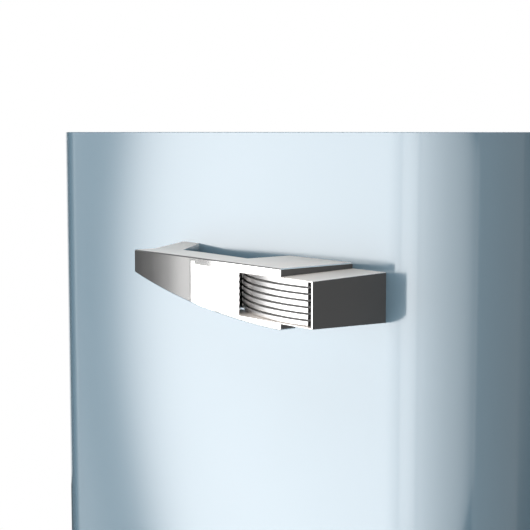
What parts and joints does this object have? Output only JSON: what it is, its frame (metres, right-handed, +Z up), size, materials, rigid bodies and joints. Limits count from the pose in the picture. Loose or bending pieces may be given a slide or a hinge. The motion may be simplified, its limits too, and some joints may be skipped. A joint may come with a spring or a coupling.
{
  "type": "top freezer refrigerator",
  "caption": "Free-standing refrigerator with a top freezer, round-cornered gloss doors, tapered chrome pulls, glass shelves, drawers and a rear condenser.",
  "frame": {"origin": "on the floor under the centre of the whole outline, pulls and rear coil included", "axes": "+Z up, front towards -Y, +X to the right when seen from the front"},
  "size_m": [0.6, 0.742, 1.68],
  "materials": {
    "body_paint": "gloss pastel blue enamel",
    "door_cap": "moulded cap in the body colour",
    "foam": "rigid foam, cream, unfinished",
    "lining": "satin white vacuum-formed lining",
    "white_plastic": "satin white",
    "seal": "soft light grey",
    "bright_chrome": "polished chrome",
    "grip_chrome": "polished chrome, ribbed",
    "zinc_steel": "zinc plated",
    "grey_plastic": "fine-grained dark grey",
    "rubber": "matte black",
    "black_enamel": "semi-gloss black",
    "copper": "bare copper",
    "fin_aluminium": "mill finish",
    "shelf_glass": "clear toughened glass",
    "clear_plastic": "clear moulded plastic",
    "wire_white": "white coated",
    "black_plastic": "fine-grained black"
  },
  "bodies": {
    "cabinet": {"back_panel": "zinc_steel", "base_pan": "zinc_steel", "bottom_hinge": "zinc_steel", "cabinet_wrapper": "body_paint", "centre_hinge": "zinc_steel", "compressor": "black_enamel", "compressor_mounts": "rubber", "condenser_tube": "black_enamel", "condenser_wires": "black_enamel", "control_housing": "white_plastic", "drip_tray": "grey_plastic", "evaporator_coil": "fin_aluminium", "evaporator_cover": "lining", "filter_drier": "copper", "freezer_liner": "lining", "freezer_shelf": "wire_white", "fridge_liner": "lining", "front_face_frame": "body_paint", "glass_shelves": "shelf_glass", "hinge_cover": "door_cap", "hinge_screws": "zinc_steel", "insulation": "foam", "kick_grille": "grey_plastic", "lamp_lens": "clear_plastic", "mains_inlet": "black_plastic", "rear_spacers": "grey_plastic", "roller_brackets": "zinc_steel", "shelf_trims": "white_plastic", "top_hinge": "zinc_steel"},
    "freezer_door": {"freezer_door_bins": "clear_plastic", "freezer_door_caps": "door_cap", "freezer_door_foam": "foam", "freezer_door_gasket": "seal", "freezer_door_liner": "lining", "freezer_door_skin": "body_paint", "freezer_handle_bar": "bright_chrome", "freezer_handle_block": "bright_chrome", "freezer_handle_insert": "grip_chrome", "freezer_handle_studs": "zinc_steel"},
    "fridge_door": {"fridge_door_bins": "clear_plastic", "fridge_door_caps": "door_cap", "fridge_door_foam": "foam", "fridge_door_gasket": "seal", "fridge_door_liner": "lining", "fridge_door_skin": "body_paint", "fridge_handle_bar": "bright_chrome", "fridge_handle_block": "bright_chrome", "fridge_handle_insert": "grip_chrome", "fridge_handle_studs": "zinc_steel"},
    "dairy_lid": {"dairy_lid": "clear_plastic"},
    "crisper_left": {"crisper_drawer_left": "clear_plastic"},
    "crisper_right": {"crisper_drawer_right": "clear_plastic"},
    "thermostat": {"thermostat_knob": "white_plastic"},
    "switch_plunger": {"door_switch_plunger": "white_plastic"},
    "foot_left": {"levelling_foot_left": "grey_plastic"},
    "foot_right": {"levelling_foot_right": "grey_plastic"},
    "roller_left": {"rear_roller_left": "rubber"},
    "roller_right": {"rear_roller_right": "rubber"},
    "fan": {"evaporator_fan": "grey_plastic"}
  },
  "joints": [
    {"name": "freezer_door_hinge", "type": "hinge", "parent": "cabinet", "child": "freezer_door", "pos_m": [-0.286, -0.232, 1.4], "axis": [0, 0, -1], "range_deg": [0, 110]},
    {"name": "fridge_door_hinge", "type": "hinge", "parent": "cabinet", "child": "fridge_door", "pos_m": [-0.286, -0.232, 0.6], "axis": [0, 0, -1], "range_deg": [0, 110]},
    {"name": "dairy_lid_hinge", "type": "hinge", "parent": "fridge_door", "child": "dairy_lid", "pos_m": [0, -0.2, 1.0245], "axis": [1, 0, 0], "range_deg": [0, 85]},
    {"name": "crisper_left_slide", "type": "slide", "parent": "cabinet", "child": "crisper_left", "axis": [0, -1, 0], "range_m": [0, 0.1]},
    {"name": "crisper_right_slide", "type": "slide", "parent": "cabinet", "child": "crisper_right", "axis": [0, -1, 0], "range_m": [0, 0.1]},
    {"name": "thermostat_turn", "type": "hinge", "parent": "cabinet", "child": "thermostat", "pos_m": [0.055, -0.075, 1.153], "axis": [0, -1, 0], "range_deg": [0, 300]},
    {"name": "door_switch_press", "type": "slide", "parent": "cabinet", "child": "switch_plunger", "axis": [0, -1, 0], "range_m": [-0.004, 0.003], "stiffness_N_per_m": 60},
    {"name": "foot_left_turn", "type": "hinge", "parent": "cabinet", "child": "foot_left", "pos_m": [-0.255, -0.15, 0.02], "axis": [0, 0, 1], "continuous": true},
    {"name": "foot_right_turn", "type": "hinge", "parent": "cabinet", "child": "foot_right", "pos_m": [0.255, -0.15, 0.02], "axis": [0, 0, 1], "continuous": true},
    {"name": "roller_left_spin", "type": "hinge", "parent": "cabinet", "child": "roller_left", "pos_m": [-0.23, 0.29, 0.018], "axis": [1, 0, 0], "continuous": true},
    {"name": "roller_right_spin", "type": "hinge", "parent": "cabinet", "child": "roller_right", "pos_m": [0.23, 0.29, 0.018], "axis": [1, 0, 0], "continuous": true},
    {"name": "fan_spin", "type": "hinge", "parent": "cabinet", "child": "fan", "pos_m": [0, 0.146, 1.49], "axis": [0, 1, 0], "continuous": true}
  ]
}
